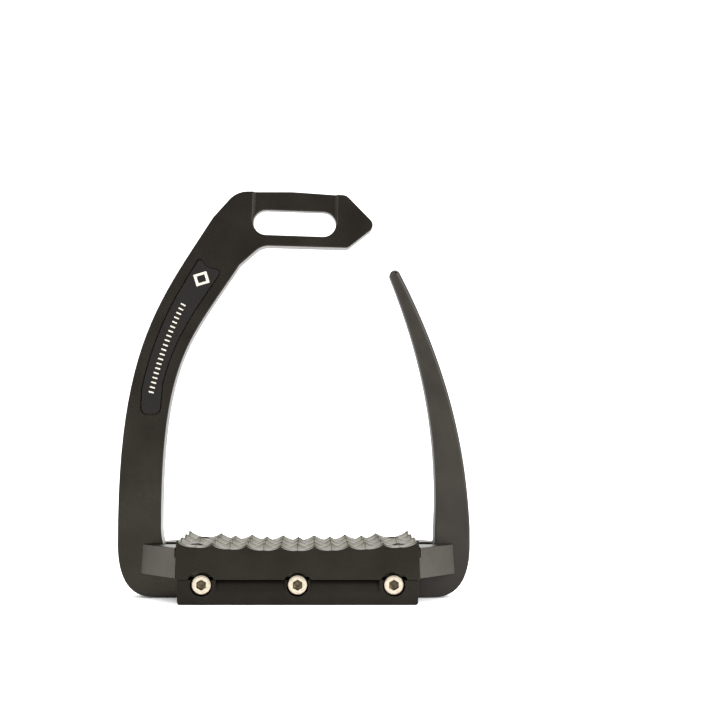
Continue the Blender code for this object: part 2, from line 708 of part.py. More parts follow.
def flex_link(line, low, high):
    """A link from one hinge to the next, or to the rounded tip when high is None."""
    first = hinge_at(line, low)
    above = hinge_at(line, high) if high else None
    reach = high - FLEX_LIP * above[2] * above[1].y if high else FLEX_TOP - 0.1 * MM
    sides = along(line, low, reach)[1:]
    right = [p + Vector((d.y, -d.x)) * flex_half_width(p.y) for p, d in sides]
    left = [p - Vector((d.y, -d.x)) * flex_half_width(p.y) for p, d in reversed(sides)]
    if high:
        end = cup(above)
    else:
        lean = math.degrees(math.atan2(sides[-1][1].y, sides[-1][1].x))
        end = arc(sides[-1][0], flex_half_width(FLEX_TOP), lean - 90, lean + 90, 12)[1:-1]
    return [tuple(point) for point in [*knuckle(first), *right, *end, *left]]


def flex_root(line):
    """The foot of the flexible branch: the tongue between the bridges, the lower corner and the first cup."""
    hinge = hinge_at(line, FLEX_FOOT)
    lip = hinge[0].y - FLEX_LIP * hinge[2]
    outer = corner((FLEX_OUTER - CORNER_WIDTH, SPINE_BOTTOM), (FLEX_OUTER, CORNER_HEIGHT), CORNER_FULLNESS)
    inner = corner((FLEX_INNER - INNER_CORNER_WIDTH, SPINE_TOP), (FLEX_INNER, lip), 0.55)
    start = SPINE_END_X + FIT
    points = [(start, SPINE_BOTTOM), *outer, (FLEX_OUTER, lip), *cup(hinge), *reversed(inner), (start, SPINE_TOP)]
    return [tuple(point) for point in points]


def make_flexible_branch():
    elastomer = finish("branch_moulding", "423E37", 0.0, 0.5)
    line = flex_centreline()
    depth = (lambda z: -half_thickness(z)), half_thickness
    root = slab("outer_branch_root", [flex_root(line)], *depth, elastomer)
    combine(root, bore("bush_bore_3", BUSH_RADIUS + FIT, SCREW_XS[2], -BASE_THICKNESS, BASE_THICKNESS, SCREW_Z))
    parent = None
    tops = [*FLEX_HINGES[1:], None]
    for name, low, high in zip(("lower", "middle", "tip"), FLEX_HINGES, tops):
        centre = hinge_at(line, low)[0]
        pivot = bpy.data.objects.new(f"flex_{name}_axis", None)
        parts.objects.link(pivot)
        pivot.parent = parent
        here = Vector((centre.x, 0, centre.y))
        pivot.location = here - (parent_place if parent else Vector())
        piece = slab(f"outer_branch_{name}", [flex_link(line, low, high)], *depth, elastomer)
        piece.data.transform(Matrix.Translation(-here))
        piece.parent = pivot
        parent, parent_place = pivot, here


for old in list(bpy.data.objects):
    bpy.data.objects.remove(old)
parts = bpy.data.collections.new("stirrup_iron")
cutters = bpy.data.collections.new("cutters")
for collection in (parts, cutters):
    bpy.context.scene.collection.children.link(collection)

make_frame()
make_inlay()
tread = make_tread()
front_bridge = make_bridge()
front_bar = make_bar()
make_grip_screws(tread, front_bridge)
make_cap_screws()
make_bushes()
make_flexible_branch()
for name, front in (("rear_bridge", front_bridge), ("rear_bar", front_bar)):
    copy_of(front, name, final_mesh(front), scale=(1, -1, 1))
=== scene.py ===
"""Safety stirrup iron, dressed piece by piece in the order in which it goes together.

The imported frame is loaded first. Each piece stands for a CAD node or rides on its body.
Everything is in metres, with +Z up and -Y the front.
"""

import json
import math

import bmesh
import bpy
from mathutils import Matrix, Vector
from mathutils.geometry import interpolate_bezier


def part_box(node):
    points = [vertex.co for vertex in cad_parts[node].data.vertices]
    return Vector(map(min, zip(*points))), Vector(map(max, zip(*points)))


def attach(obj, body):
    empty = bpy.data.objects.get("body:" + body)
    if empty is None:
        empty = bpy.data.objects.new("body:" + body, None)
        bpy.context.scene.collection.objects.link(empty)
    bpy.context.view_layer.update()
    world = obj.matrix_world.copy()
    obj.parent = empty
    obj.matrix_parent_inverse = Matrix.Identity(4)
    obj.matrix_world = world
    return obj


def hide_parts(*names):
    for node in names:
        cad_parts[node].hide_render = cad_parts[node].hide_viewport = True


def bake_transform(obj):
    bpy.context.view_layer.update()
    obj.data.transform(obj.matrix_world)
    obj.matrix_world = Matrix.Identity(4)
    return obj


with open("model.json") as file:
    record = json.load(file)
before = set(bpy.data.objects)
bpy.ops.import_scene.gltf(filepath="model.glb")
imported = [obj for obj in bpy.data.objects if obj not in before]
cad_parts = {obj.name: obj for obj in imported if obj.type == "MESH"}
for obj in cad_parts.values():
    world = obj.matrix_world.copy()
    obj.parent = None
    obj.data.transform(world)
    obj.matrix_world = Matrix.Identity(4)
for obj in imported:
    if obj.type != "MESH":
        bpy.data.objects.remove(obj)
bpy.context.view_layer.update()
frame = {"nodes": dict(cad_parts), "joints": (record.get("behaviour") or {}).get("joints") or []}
MM = 0.001


# The iron's frame: the rigid branch, the eye for the leather and the spine under the tread, forged and
# milled in one piece from aluminium bar. Its outer edges are broken by tumbling, the slot's and the
# pocket's are only deburred.

EDGE_BREAK = 0.45 * MM
DEBURRED = 0.13 * MM
BLAST_GRAIN = 0.35 * MM  # the blast is finer, and would not show at this size
BLAST_DEPTH = 0.004 * MM


def linear(code):
    """The linear colour of an sRGB hex code."""
    channels = [int(code[i : i + 2], 16) / 255 for i in (0, 2, 4)]
    return (*[c / 12.92 if c <= 0.04045 else ((c + 0.055) / 1.055) ** 2.4 for c in channels], 1)


def add(material, kind, inputs, **settings):
    """Adds a node with its settings; each input is a value, or the output that feeds it."""
    made = material.node_tree.nodes.new("ShaderNode" + kind)
    for key, value in settings.items():
        setattr(made, key, value)
    for key, value in inputs.items():
        if isinstance(value, bpy.types.NodeSocket):
            material.node_tree.links.new(value, made.inputs[key])
        else:
            made.inputs[key].default_value = value
    return made


def surface(name, metallic, roughness, **sockets):
    """A new material, with its shader and the coordinates of the piece in metres."""
    material = bpy.data.materials.new(name)
    material.use_nodes = True
    shader = material.node_tree.nodes["Principled BSDF"]
    shader.inputs["Metallic"].default_value = metallic
    shader.inputs["Roughness"].default_value = roughness
    for key, value in sockets.items():
        shader.inputs[key.replace("_", " ")].default_value = value
    return material, shader, add(material, "TexCoord", {}).outputs["Object"]


def feed(material, shader, **outputs):
    """Links node outputs into the shader's sockets."""
    for key, output in outputs.items():
        material.node_tree.links.new(output, shader.inputs[key.replace("_", " ")])


def tones(material, value, dark, light, low=0.3, high=0.7):
    """Colours between a dark and a light one, as the value goes from low to high."""
    ramp = add(material, "ValToRGB", {"Fac": value})
    for stop, place, code in zip(ramp.color_ramp.elements, (low, high), (dark, light)):
        stop.position = place
        stop.color = linear(code)
    return ramp.outputs[0]


def anodised(name, dark, light, grain, depth, roughness):
    """Black anodised aluminium over a bead blast: satin, with faint clouds in the dye and a fine grain."""
    material, shader, place = surface(name, 0.92, roughness)
    cloud = add(material, "TexNoise", {"Vector": place, "Scale": 1 / (18 * MM), "Detail": 3.0})
    speck = add(material, "TexNoise", {"Vector": place, "Scale": 1 / grain, "Detail": 2.0})
    both = add(material, "Math", {0: cloud.outputs[0], 1: speck.outputs[0]}, operation="MULTIPLY")
    colour = tones(material, both.outputs[0], dark, light, 0.15, 0.38)
    gloss = add(
        material,
        "MapRange",
        {"Value": cloud.outputs[0], "To Min": roughness - 0.05, "To Max": roughness + 0.06},
    )
    bump = add(material, "Bump", {"Height": speck.outputs[0], "Distance": depth, "Strength": 0.6})
    feed(material, shader, Base_Color=colour, Roughness=gloss.outputs[0], Normal=bump.outputs[0])
    return material


def alone(piece):
    """Selects only this piece and opens it in edit mode."""
    bpy.ops.object.select_all(action="DESELECT")
    piece.select_set(True)
    bpy.context.view_layer.objects.active = piece
    bpy.ops.object.mode_set(mode="EDIT")


def done():
    """Leaves edit mode, with nothing selected."""
    bpy.ops.object.mode_set(mode="OBJECT")
    bpy.ops.object.select_all(action="DESELECT")


def pick(kind, test):
    """In edit mode, selects the vertices, edges or faces that pass the test."""
    bpy.ops.mesh.select_mode(type=kind)
    bpy.ops.mesh.select_all(action="DESELECT")
    mesh = bpy.context.edit_object.data
    shape = bmesh.from_edit_mesh(mesh)
    for element in {"VERT": shape.verts, "EDGE": shape.edges, "FACE": shape.faces}[kind]:
        if test(element):
            element.select_set(True)
    shape.select_flush_mode()
    bmesh.update_edit_mesh(mesh)


def from_node(node, name):
    """A new piece on a copy of a CAD node's mesh, with its points merged and its flats made whole."""
    piece = bpy.data.objects.new(name, frame["nodes"][node].data.copy())
    bpy.context.scene.collection.objects.link(piece)
    piece.data.materials.clear()
    alone(piece)
    bpy.ops.mesh.select_all(action="SELECT")
    bpy.ops.mesh.customdata_custom_splitnormals_clear()
    bpy.ops.mesh.remove_doubles(threshold=0.005 * MM)
    bpy.ops.mesh.dissolve_limited(angle_limit=math.radians(0.3))
    bpy.ops.mesh.normals_make_consistent(inside=False)
    return piece


def corner_angle(edge):
    """The angle at an edge that stands proud, in degrees, and 0 at a hollow one."""
    if len(edge.link_faces) != 2 or not edge.is_convex:
        return 0
    return math.degrees(edge.calc_face_angle())


def depth_of(face):
    """How far a face reaches from front to back."""
    depths = [corner.vert.co.y for corner in face.loops]
    return max(depths) - min(depths)


def soften(piece, limit=38):
    """Smooth shading up to the limit, in degrees, with the flats kept flat."""
    bpy.ops.object.mode_set(mode="OBJECT")
    bpy.ops.object.shade_smooth_by_angle(angle=math.radians(limit))
    weighted = piece.modifiers.new("flats", "WEIGHTED_NORMAL")
    weighted.keep_sharp = True
    bpy.ops.object.modifier_apply(modifier=weighted.name)
    done()


# The blast gives the frame an even satin black, on which the light falls off softly.
frame_black = anodised(
    "bead_blasted_black_anodised_aluminium", "25221D", "2E2B26", BLAST_GRAIN, BLAST_DEPTH, 0.31
)

iron_frame = from_node("frame", "iron_frame")
pick("EDGE", lambda edge: corner_angle(edge) > 40 and max(map(depth_of, edge.link_faces)) > 3 * MM)
bpy.ops.mesh.bevel(offset=EDGE_BREAK, segments=3, clamp_overlap=False)
pick("EDGE", lambda edge: corner_angle(edge) > 38)
bpy.ops.mesh.bevel(offset=DEBURRED, segments=2, clamp_overlap=False)
soften(iron_frame)
iron_frame.data.materials.append(frame_black)
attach(iron_frame, "iron")
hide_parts("frame")


# The inlay: a moulded black ABS plate with a fine spark-eroded texture, pressed into the pocket on the
# front of the rigid branch. It carries a plain ornament printed in silver ink.

INLAY_EDGE = 0.15 * MM
INK = 0.04 * MM
LOZENGE_PLACE = Vector((-40.6, 0, 140.0)) * MM
LOZENGE_SIZE = 5.2 * MM
LOZENGE_LINE = 1.05 * MM
LOZENGE_STRETCH = 1.15
LOZENGE_LEAN = 28  # degrees, with the branch
DASHES = 20
DASH_LONG = 2.3 * MM
DASH_WIDE = 0.62 * MM
DASH_LINE = [
    Vector(point) * MM
    for point in ((-48.6, 0, 128.6), (-53.0, 0, 120.4), (-58.4, 0, 107.2), (-62.6, 0, 90.2))
]

inlay = from_node("branch_inlay", "inlay_plate")
pick("EDGE", lambda edge: corner_angle(edge) > 60)
bpy.ops.mesh.bevel(offset=INLAY_EDGE, segments=2, clamp_overlap=False)
soften(inlay)

# Spark-eroded ABS: a fine, even grit that scatters the light, so the plate looks near black all over.
abs_black, shader, place = surface("spark_eroded_black_abs", 0.0, 0.42, Specular_IOR_Level=0.15)
grit = add(abs_black, "TexNoise", {"Vector": place, "Scale": 1 / (0.5 * MM), "Detail": 3.0})
shade = add(abs_black, "MapRange", {"Value": grit.outputs[0], "To Min": 0.42, "To Max": 0.56})
tint = tones(abs_black, grit.outputs[0], "0B0A09", "141210")
bump = add(abs_black, "Bump", {"Height": grit.outputs[0], "Distance": 0.01 * MM, "Strength": 0.5})
feed(abs_black, shader, Base_Color=tint, Roughness=shade.outputs[0], Normal=bump.outputs[0])
inlay.data.materials.append(abs_black)
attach(inlay, "iron")
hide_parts("branch_inlay")

plate_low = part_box("branch_inlay")[0]
frame_low, frame_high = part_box("frame")


def plate_face(z):
    """The depth of the inlay's face, which leans with the branch."""
    thinning = (frame_high.y - frame_low.y) / 2 / frame_high.z
    return plate_low.y + (z - plate_low.z) * thinning / 3 - INK


# Pad-printed ink: pale, slightly patchy, with the dull sheen of its metal flake.
ink, shader, place = surface("silver_pad_print_ink", 0.25, 0.45)
patchy = add(ink, "TexNoise", {"Vector": place, "Scale": 1 / (0.6 * MM), "Detail": 4.0})
feed(ink, shader, Base_Color=tones(ink, patchy.outputs[0], "A39C90", "CBC5B9"))


def spread(path, count):
    """The path as evenly spaced points."""
    lengths = [0.0]
    for before, after in zip(path, path[1:]):
        lengths.append(lengths[-1] + (after - before).length)
    points = []
    for step in range(count):
        wanted = lengths[-1] * step / (count - 1)
        i = max(n for n in range(len(path) - 1) if lengths[n] <= wanted + 1e-12)
        share = (wanted - lengths[i]) / (lengths[i + 1] - lengths[i])
        points.append(path[i].lerp(path[i + 1], share))
    return points


def printed(piece):
    """Gives a flat outline its ink: thickness, place on the sloping face, body and slot."""
    bpy.ops.object.mode_set(mode="OBJECT")
    for point in piece.data.vertices:
        point.co.y = plate_face(point.co.z)
    film = piece.modifiers.new("film", "SOLIDIFY")
    film.thickness = INK
    film.offset = 0
    bpy.ops.object.modifier_apply(modifier=film.name)
    done()
    piece.data.materials.append(ink)
    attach(piece, "iron")


bpy.ops.mesh.primitive_plane_add(size=LOZENGE_SIZE)
lozenge = bpy.context.object
lozenge.name = "inlay_lozenge"
alone(lozenge)
bpy.ops.mesh.select_all(action="SELECT")
bpy.ops.mesh.inset(thickness=LOZENGE_LINE)
bpy.ops.mesh.delete(type="FACE")
done()
lozenge.scale = (1, LOZENGE_STRETCH, 1)
lozenge.rotation_euler = (math.pi / 2, math.radians(LOZENGE_LEAN + 45), 0)
lozenge.location = LOZENGE_PLACE
lozenge.select_set(True)
bpy.ops.object.transform_apply()
alone(lozenge)
printed(lozenge)

line = spread(interpolate_bezier(*DASH_LINE, 60), 2 * DASHES - 1)
for number in range(DASHES):
    here, near = line[2 * number], line[abs(2 * number - 1)]
    along = (here - near).normalized() * (1 if number else -1)
    bpy.ops.mesh.primitive_plane_add(size=1, location=(0, 0, 0))
    dash = bpy.context.object
    dash.name = f"inlay_dash_{number + 1:02d}"
    dash.scale = (DASH_LONG, DASH_WIDE, 1)
    dash.rotation_euler = (math.pi / 2, math.atan2(-along.x, -along.z), 0)
    dash.location = here
    bpy.ops.object.transform_apply()
    alone(dash)
    bpy.ops.mesh.select_all(action="SELECT")
    bpy.ops.mesh.bevel(affect="VERTICES", offset=0.2 * MM, segments=3)
    printed(dash)


# The bridges: two wedges milled from aluminium, one in front of the spine and one behind, that carry
# the tread out to its full depth. Their facets are fly-cut, then anodised black.

BRIDGE_EDGE = 0.3 * MM
FLY_CUT_GRAIN = 0.5 * MM
FLY_CUT_DEPTH = 0.003 * MM

# Fly cutting leaves the facets flatter; their black is painted a little greyer than the frame's, as
# painted reflection of the light on them.
bridge_black_painted_lighter = anodised(
    "black_anodised_aluminium_painted_lighter", "3B3934", "45433D", FLY_CUT_GRAIN, FLY_CUT_DEPTH, 0.38
)

for name in ("front_bridge", "rear_bridge"):
    bridge = from_node(name, name + "_milled")
    pick("EDGE", lambda edge: corner_angle(edge) > 20)
    bpy.ops.mesh.bevel(offset=BRIDGE_EDGE, segments=3, clamp_overlap=False)
    soften(bridge, 25)
    bridge.data.materials.append(bridge_black_painted_lighter)
    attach(bridge, "iron")
    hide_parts(name)


# The bars: aluminium strips along the foot of the platform, front and rear, each scooped twice under
# the tread and bored for three cap screws, bead blasted and anodised black.

BAR_EDGE = 0.22 * MM
BAR_FOOT = 1.4 * MM  # only the edges below this height, round the bars' feet, are broken

# The bars are given a darker colour than the frame, and a duller gloss.
bar_black = anodised("blasted_black_anodised_bar", "1C1915", "24211C", BLAST_GRAIN, BLAST_DEPTH, 0.45)

for name in ("front_bar", "rear_bar"):
    bar = from_node(name, name + "_milled")
    pick("EDGE", lambda edge: corner_angle(edge) > 50 and min(v.co.z for v in edge.verts) < BAR_FOOT)
    bpy.ops.mesh.bevel(offset=BAR_EDGE, segments=2, clamp_overlap=False)
    soften(bar)
    bar.data.materials.append(bar_black)
    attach(bar, "iron")
    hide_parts(name)


# The tread: an aluminium channel, anodised black first and then milled with a ball-nosed cutter in two
# sets of grooves at 45 degrees, which leave rows of bare, sharp teeth. Four countersunk holes.

low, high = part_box("tread")
MIDDLE = (low.x + high.x) / 2
HALF_LENGTH = (high.x - low.x) / 2
HALF_DEPTH = high.y
TREAD_EDGE = 0.3 * MM
SKIRT_LEAN = 0.8 * MM
CHAMFER_FOOT = 22.9 * MM
CHAMFER_RUN = 1.7 * MM
CHAMFER_RISE = 2.9 * MM
DECK_UNDERSIDE = 19.8 * MM
SKIRT_WALL = 3.2 * MM
TOOTH_STEP = 7.18 * MM  # along the tread, half of a tooth's spacing
GROOVE_DEEP = 2.3 * MM
SAG_RADIUS = 650 * MM  # the deck sags towards its middle
ROWS_ALONG, ROWS_ACROSS = 7, 3
CELLS = 14  # cells across one groove
PEAKS = 25.05 * MM
TIP_CUT = 0.12 * MM  # the teeth's tips are flats of the black skin, this far below their sharp ends
SPACING = TOOTH_STEP * math.sqrt(2)
CUTTER_RADIUS = ((SPACING / 2) ** 2 + GROOVE_DEEP**2) / (2 * GROOVE_DEEP)
EXACT = 0.001 * MM  # a point nearer than this to a cutting plane counts as on it
SEAT_RADIUS = 6.1 * MM  # the skirt's notches round the cap screws' heads
HOLE_RADIUS = 3.3 * MM  # a grip screw's hole: a straight wall, a countersink and the shank's way
HOLE_TOOL = 10 * MM
HOLE_TOOL_PLACE = 4.7 * MM  # the tool's middle above the head's top
SINK_DEEP = 1.5 * MM
SINK_NARROWS = 0.55
END_BELLY = 0.7 * MM  # how far the tread's ends draw in, away from their fullest height
BELLY_HEIGHT = 16 * MM
BELLY_REACH = 8 * MM
COLUMN_SHIFT = 0.37  # keeps the columns' cuts off the teeth's own edges
GRIP_MARGIN = 1.5 * MM  # how far the grip's cutter runs past the tread's edges
GRIP_TOOL_TOP = PEAKS + 12 * MM  # the cutter's flat top, clear of the teeth


def sag(x):
    """How far the deck rises away from its middle."""
    return (x - MIDDLE) ** 2 / (2 * SAG_RADIUS)


def mark_second(tool):
    """Marks all of a tool's faces with the second material number, for the faces that it cuts."""
    while len(tool.data.materials) < 2:
        tool.data.materials.append(None)
    for face in tool.data.polygons:
        face.material_index = 1


def cut(piece, tool):
    """Cuts the tool out of the piece; the cut faces keep the tool's material number."""
    boolean = piece.modifiers.new("cut", "BOOLEAN")
    boolean.object = tool
    bpy.ops.object.select_all(action="DESELECT")
    bpy.context.view_layer.objects.active = piece
    bpy.ops.object.modifier_apply(modifier=boolean.name)
    bpy.data.objects.remove(tool)


def groove(across):
    """Depth below the teeth's tips of one set of grooves; across is measured along the tread."""
    if abs(across) > (ROWS_ALONG + ROWS_ACROSS) * TOOTH_STEP + 0.01 * MM:
        return 0
    from_middle = (abs(across) % (2 * TOOTH_STEP) - TOOTH_STEP) / math.sqrt(2)
    return GROOVE_DEEP - CUTTER_RADIUS + math.sqrt(CUTTER_RADIUS**2 - from_middle**2)


bpy.ops.mesh.primitive_cube_add(size=1, location=(MIDDLE, 0, (low.z + PEAKS - TIP_CUT) / 2))
tread = bpy.context.object
tread.name = "tread_milled"
tread.scale = (2 * HALF_LENGTH, 2 * HALF_DEPTH, PEAKS - TIP_CUT - low.z)
bpy.ops.object.transform_apply()
alone(tread)
for side in (-1, 1):
    skirt_foot = (0, side * HALF_DEPTH, low.z)
    skirt = (0, side * (CHAMFER_FOOT - low.z), SKIRT_LEAN)
    chamfer_foot = (0, side * (HALF_DEPTH - SKIRT_LEAN), CHAMFER_FOOT)
    chamfer = (0, side * CHAMFER_RISE, CHAMFER_RUN)
    for place, normal in ((skirt_foot, skirt), (chamfer_foot, chamfer)):
        bpy.ops.mesh.select_all(action="SELECT")
        bpy.ops.mesh.bisect(
            plane_co=place, plane_no=normal, use_fill=True, clear_outer=True, threshold=EXACT
        )
pick("EDGE", lambda edge: corner_angle(edge) > 20 and min(v.co.z for v in edge.verts) < PEAKS - MM)
bpy.ops.mesh.bevel(offset=TREAD_EDGE, segments=2)
done()

screw_xs = [sum(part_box(f"cap_screw_front_{n}")[i].x for i in (0, 1)) / 2 for n in (1, 2, 3)]
SCREW_Z = sum(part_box("cap_screw_front_1")[i].z for i in (0, 1)) / 2
for x in screw_xs:
    bpy.ops.mesh.primitive_cylinder_add(
        vertices=48,
        radius=SEAT_RADIUS,
        depth=3 * HALF_DEPTH,
        location=(x, 0, SCREW_Z),
        rotation=(math.pi / 2, 0, 0),
    )
    bpy.ops.object.transform_apply()
    cut(tread, bpy.context.object)
for number in (1, 2, 3, 4):
    corner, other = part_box(f"grip_screw_{number}")
    centre = ((corner.x + other.x) / 2, (corner.y + other.y) / 2, other.z + HOLE_TOOL_PLACE)
    bpy.ops.mesh.primitive_cylinder_add(vertices=40, radius=HOLE_RADIUS, depth=HOLE_TOOL, location=centre)
    hole = bpy.context.object
    alone(hole)
    pick("FACE", lambda face: face.normal.z < -0.9)
    bpy.ops.mesh.extrude_region_move(TRANSFORM_OT_translate={"value": (0, 0, -SINK_DEEP)})
    bpy.ops.transform.resize(value=(SINK_NARROWS, SINK_NARROWS, 1), center_override=centre)
    bpy.ops.mesh.extrude_region_move(TRANSFORM_OT_translate={"value": (0, 0, -HOLE_TOOL)})
    done()
    hole.select_set(True)
    bpy.ops.object.transform_apply()
    cut(tread, hole)
bpy.ops.mesh.primitive_cube_add(size=1, location=(MIDDLE, 0, (low.z + DECK_UNDERSIDE) / 2 - 5 * MM))
channel = bpy.context.object
channel.scale = (3 * HALF_LENGTH, 2 * (HALF_DEPTH - SKIRT_WALL), DECK_UNDERSIDE - low.z + 10 * MM)
bpy.ops.object.transform_apply()
cut(tread, channel)

alone(tread)
for column in range(-13, 14):
    place = (MIDDLE + (column + COLUMN_SHIFT) * TOOTH_STEP / 2, 0, 0)
    bpy.ops.mesh.select_all(action="SELECT")
    bpy.ops.mesh.bisect(plane_co=place, plane_no=(1, 0, 0), threshold=EXACT)
shape = bmesh.from_edit_mesh(tread.data)
for vert in shape.verts:
    if vert.co.z > DECK_UNDERSIDE + MM:
        vert.co.z += sag(vert.co.x)
    if abs(vert.co.x - MIDDLE) > HALF_LENGTH - 0.5 * MM:
        belly = min(1, ((vert.co.z - BELLY_HEIGHT) / BELLY_REACH) ** 2)
        vert.co.x -= math.copysign(END_BELLY * belly, vert.co.x - MIDDLE)
bmesh.update_edit_mesh(tread.data)
bpy.ops.mesh.select_all(action="SELECT")
bpy.ops.mesh.quads_convert_to_tris()
done()

# Bare aluminium from a ball-nosed cutter: grey, with soft gloss and shallow feed marks across each
# groove, and thin dark lines of painted shade along the teeth's crests, for their shadowed flanks.
bare, shader, place = surface("ball_milled_bare_aluminium", 1.0, 0.42)
cloud = add(bare, "TexNoise", {"Vector": place, "Scale": 1 / (4 * MM), "Detail": 4.0})
metal = tones(bare, cloud.outputs[0], "524F46", "706D62")
axes = add(bare, "SeparateXYZ", {"Vector": place}).outputs
along = add(bare, "Math", {0: axes["X"], 1: MIDDLE}, operation="SUBTRACT")
columns = add(bare, "Math", {0: along.outputs[0], 1: TOOTH_STEP / 2}, operation="PINGPONG")
faint = add(bare, "Math", {0: columns.outputs[0], 1: 2.4}, operation="MULTIPLY")
rows = add(bare, "Math", {0: axes["Y"], 1: TOOTH_STEP / 2}, operation="PINGPONG")
crest = add(bare, "Math", {0: faint.outputs[0], 1: rows.outputs[0]}, operation="MINIMUM")
clear = add(
    bare,
    "MapRange",
    {"Value": crest.outputs[0], "From Min": 0.2 * MM, "From Max": 0.55 * MM, "To Min": 0.15},
)
# Painted shade: the colour is darkened in thin lines along the teeth's crests, narrower along the columns
# than along the rows.
crest_shade = add(bare, "CombineXYZ", {key: clear.outputs[0] for key in "XYZ"})
tone = add(bare, "VectorMath", {0: metal, 1: crest_shade.outputs[0]}, operation="MULTIPLY").outputs[0]
turned = add(bare, "Mapping", {"Vector": place, "Rotation": (0, 0, math.radians(45))})
marks = add(
    bare, "TexWave", {"Vector": turned.outputs[0], "Scale": 1 / (5 * MM), "Distortion": 2.0, "Detail": 1.0}
)
bump = add(bare, "Bump", {"Height": marks.outputs[1], "Distance": 0.012 * MM, "Strength": 0.5})
feed(bare, shader, Base_Color=tone, Normal=bump.outputs[0])
# The black skin that the cutter leaves on the skirts and the teeth's flat tips.
burnt = anodised("black_left_on_the_tread", "201D18", "28251F", BLAST_GRAIN, BLAST_DEPTH, 0.34)
tread.data.materials.append(burnt)
tread.data.materials.append(bare)

reach = (HALF_LENGTH + HALF_DEPTH) / math.sqrt(2) / SPACING + 1
cells = 2 * CELLS * math.ceil(reach)
bpy.ops.mesh.primitive_grid_add(x_subdivisions=cells, y_subdivisions=cells, size=cells / CELLS * SPACING)
grip = bpy.context.object
grip.rotation_euler = (0, 0, math.radians(45))
bpy.ops.object.transform_apply()
alone(grip)
pick(
    "VERT",
    lambda vert: abs(vert.co.x) > HALF_LENGTH + GRIP_MARGIN or abs(vert.co.y) > HALF_DEPTH + GRIP_MARGIN,
)
bpy.ops.mesh.delete(type="VERT")
bpy.ops.mesh.select_all(action="SELECT")
bpy.ops.mesh.delete_loose()
shape = bmesh.from_edit_mesh(grip.data)
for vert in shape.verts:
    x, y = vert.co.x, vert.co.y
    vert.co.x += MIDDLE
    vert.co.z = PEAKS + sag(MIDDLE + x) - max(groove(x + y), groove(x - y))
bmesh.update_edit_mesh(grip.data)
bpy.ops.mesh.select_all(action="SELECT")
bpy.ops.mesh.quads_convert_to_tris(quad_method="LONGEST_DIAGONAL")
bpy.ops.mesh.extrude_region()
bpy.ops.transform.resize(value=(1, 1, 0), center_override=(0, 0, GRIP_TOOL_TOP))
bpy.ops.mesh.select_all(action="SELECT")
bpy.ops.mesh.normals_make_consistent(inside=False)
done()
mark_second(grip)
cut(tread, grip)
alone(tread)
bpy.ops.mesh.select_all(action="SELECT")
bpy.ops.mesh.remove_doubles(threshold=0.002 * MM)
soften(tread, 24)
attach(tread, "iron")
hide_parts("tread")


# The cap screws: six M5 socket head screws in bright stainless steel, three from the front and three
# from the rear, cold headed with a knurled rim and a drilled hexagonal socket.

HEAD_RADIUS = 4.25 * MM
HEAD_HIGH = 5 * MM
SHANK_RADIUS = 2.5 * MM
SOCKET_WIDTH = 4 * MM
THREAD_PITCH = 0.8 * MM
THREAD_DEEP = 0.42 * MM
KNURLED = 0.965  # what each second edge of the rim keeps of its radius
ROUND = 64  # steps round a head
TURNING_FEED = 0.28 * MM  # from ring to ring; the real ones are finer, and would not show
SHANK_LENGTH = (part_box("cap_screw_front_1")[1].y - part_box("cap_screw_front_1")[0].y) - HEAD_HIGH


def spun(name, profile, steps):
    """A turned piece: the profile, as (radius, height) pairs, is drawn by extruding a point and spun."""
    bpy.ops.mesh.primitive_plane_add(size=1)
    piece = bpy.context.object
    piece.name = name
    alone(piece)
    bpy.ops.mesh.select_all(action="SELECT")
    bpy.ops.mesh.merge(type="CENTER")
    bpy.ops.transform.translate(value=(profile[0][0], 0, profile[0][1]))
    for before, after in zip(profile, profile[1:]):
        step = (after[0] - before[0], 0, after[1] - before[1])
        bpy.ops.mesh.extrude_region_move(TRANSFORM_OT_translate={"value": step})
    bpy.ops.mesh.select_all(action="SELECT")
    bpy.ops.mesh.spin(steps=steps, angle=2 * math.pi, center=(0, 0, 0), axis=(0, 0, 1))
    bpy.ops.mesh.select_all(action="SELECT")
    bpy.ops.mesh.remove_doubles(threshold=0.002 * MM)
    bpy.ops.mesh.normals_make_consistent(inside=False)
    return piece


def socket(piece, width, deep, top):
    """Cuts a hexagonal socket with a drilled, conical bottom; its faces take the second material."""
    done()
    while len(piece.data.materials) < 2:
        piece.data.materials.append(None)
    bpy.ops.mesh.primitive_cone_add(vertices=36, radius1=0, radius2=width * 0.52, depth=width * 0.3)
    drill = bpy.context.object
    drill.location.z = top - deep - width * 0.12
    bpy.ops.object.transform_apply()
    mark_second(drill)
    cut(piece, drill)
    bpy.ops.mesh.primitive_cylinder_add(vertices=6, radius=width / math.sqrt(3), depth=2 * deep)
    broach = bpy.context.object
    broach.location.z = top
    bpy.ops.object.transform_apply()
    mark_second(broach)
    cut(piece, broach)
    alone(piece)


def stainless(name, dark, light):
    """Bright cold-headed stainless steel with faint turning rings, which follow the mesh's own radius."""
    material, shader, place = surface(name, 1.0, 0.3)
    radius = add(material, "Attribute", {}, attribute_name="turning")
    often = math.tau / TURNING_FEED
    rings = add(material, "Math", {0: radius.outputs[2], 1: often}, operation="MULTIPLY")
    wave = add(material, "Math", {0: rings.outputs[0]}, operation="SINE")
    smear = add(material, "TexNoise", {"Vector": place, "Scale": 1 / (1.2 * MM), "Detail": 3.0})
    tone = tones(material, smear.outputs[0], dark, light)
    gloss = add(material, "MapRange", {"Value": smear.outputs[0], "To Min": 0.24, "To Max": 0.38})
    bump = add(material, "Bump", {"Height": wave.outputs[0], "Distance": 0.006 * MM, "Strength": 0.4})
    feed(material, shader, Base_Color=tone, Roughness=gloss.outputs[0], Normal=bump.outputs[0])
    return material


def mark_turning(piece):
    """Stores each point's distance from the turning axis, for the rings."""
    done()
    turning = piece.data.attributes.new("turning", "FLOAT", "POINT")
    for value, point in zip(turning.data, piece.data.vertices):
        value.value = point.co.xy.length
    alone(piece)


